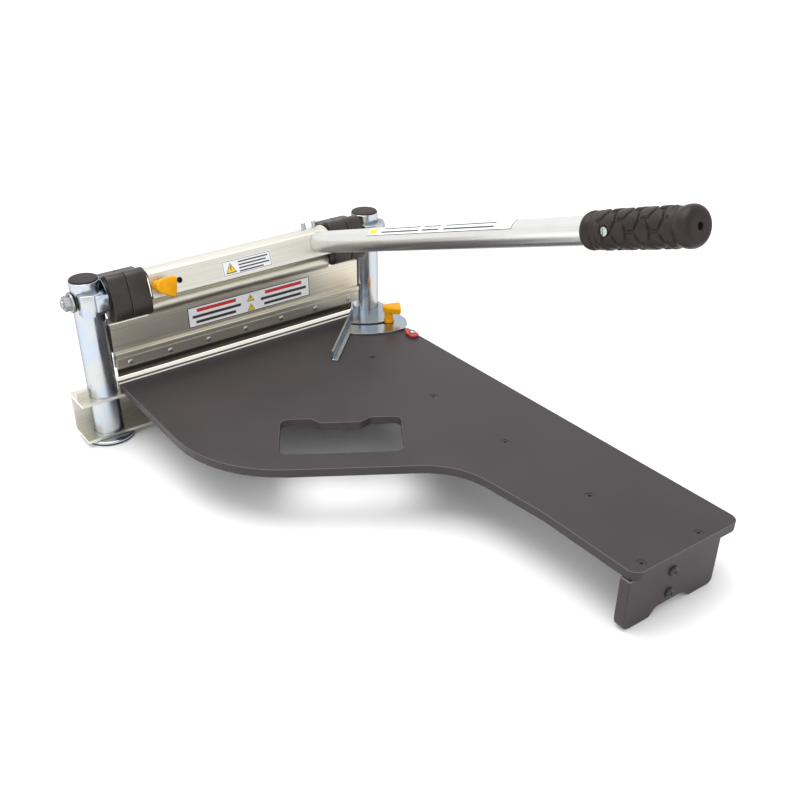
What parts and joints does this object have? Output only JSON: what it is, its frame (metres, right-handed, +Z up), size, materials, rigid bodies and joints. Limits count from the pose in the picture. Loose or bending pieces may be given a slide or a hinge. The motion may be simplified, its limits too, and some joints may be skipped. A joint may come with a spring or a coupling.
{
  "type": "guillotine tile cutter",
  "caption": "Lever guillotine cutter for floor tiles and planks: posts and sliding blade over an anvil, wing table with carrying slot, swinging angle fence.",
  "frame": {"origin": "on the floor, midway between the axes of the two posts", "axes": "+Z up, +X along the blade from the left post to the right post, the table and the lever reach toward -Y"},
  "size_m": [0.412, 0.5865, 0.3428],
  "materials": {
    "channel_aluminium": "mill-finish extrusion, fine drawn lines",
    "tube_aluminium": "bright drawn tube",
    "carrier_aluminium": "mill-finish extrusion, fine drawn lines",
    "zinc": "bright zinc plate with a bluish cast",
    "screw_zinc": "zinc-plated fasteners",
    "blade_steel": "dark hardened steel",
    "anvil_steel": "ground steel edge",
    "table_laminate": "dark film-faced board, satin",
    "leg_laminate": "dark film-faced board, satin",
    "black_nylon": "moulded nylon, satin",
    "black_cap": "moulded cap, satin",
    "black_rubber": "matt rubber",
    "grip_rubber": "soft moulded grip, slight sheen",
    "orange_plastic": "moulded orange-yellow plastic",
    "red_plastic": "moulded red plastic",
    "black_screw": "black-finished screws"
  },
  "bodies": {
    "frame": {"base_channel": "channel_aluminium", "anvil_bar": "anvil_steel", "post_left": "zinc", "post_right": "zinc", "post_cap_left": "black_cap", "post_cap_right": "black_cap", "foot_disc_left": "zinc", "foot_disc_right": "zinc", "foot_pad_left": "black_rubber", "foot_pad_right": "black_rubber", "pivot_bolt_left": "screw_zinc", "pivot_bolt_right": "screw_zinc", "post_saddle_left": "zinc", "post_saddle_right": "zinc", "cam_washer_left": "zinc", "cam_washer_right": "zinc", "table_board": "table_laminate", "leg_panel": "leg_laminate", "table_batten": "leg_laminate", "table_screw_1": "black_screw", "table_screw_2": "black_screw", "table_screw_3": "black_screw", "table_screw_4": "black_screw", "table_screw_5": "black_screw", "table_screw_6": "black_screw", "leg_screw_1": "black_screw", "leg_screw_2": "black_screw", "angle_pointer": "red_plastic", "pointer_screw": "screw_zinc"},
    "lever": {"lever_beam": "channel_aluminium", "lever_tube": "tube_aluminium", "lever_bolt_1": "screw_zinc", "lever_bolt_2": "screw_zinc", "grip_sleeve": "grip_rubber", "grip_screw": "screw_zinc", "cam_left_outer": "black_nylon", "cam_left_inner": "black_nylon", "cam_right_inner": "black_nylon", "cam_right_outer": "black_nylon"},
    "carrier": {"blade_carrier": "carrier_aluminium", "blade": "blade_steel", "clamp_strip": "carrier_aluminium", "strip_screw_1": "screw_zinc", "strip_screw_2": "screw_zinc", "strip_screw_3": "screw_zinc", "strip_screw_4": "screw_zinc", "strip_screw_5": "screw_zinc", "strip_screw_6": "screw_zinc", "strip_screw_7": "screw_zinc", "guide_shoe_left": "black_nylon", "guide_shoe_right": "black_nylon"},
    "fence": {"angle_fence": "zinc"},
    "fence_clamp": {"fence_knob": "orange_plastic"},
    "beam_lock": {"lock_knob": "orange_plastic"}
  },
  "joints": [
    {"name": "lever_hinge", "type": "hinge", "parent": "frame", "child": "lever", "pos_m": [0, 0, 0.1635], "axis": [-1, 0, 0], "range_deg": [-23.5, 40]},
    {"name": "carrier_slide", "type": "slide", "parent": "frame", "child": "carrier", "axis": [0, 0, 1], "range_m": [-0.0084, 0.0142]},
    {"name": "fence_swing", "type": "hinge", "parent": "frame", "child": "fence", "pos_m": [0.175, 0, 0.063], "axis": [0, 0, 1], "range_deg": [-2, 38]},
    {"name": "fence_knob_turn", "type": "hinge", "parent": "frame", "child": "fence_clamp", "pos_m": [0.16883, -0.05868, 0.0657], "axis": [0, 0, 1], "range_deg": [0, 180]},
    {"name": "lock_knob_turn", "type": "hinge", "parent": "lever", "child": "beam_lock", "pos_m": [-0.105, -0.02202, 0.16782], "axis": [0, -0.9537, 0.3007], "range_deg": [0, 90]}
  ],
  "couplings": [
    {"joint": "carrier_slide", "follows": "lever_hinge", "m_per_rad": 0.02}
  ]
}
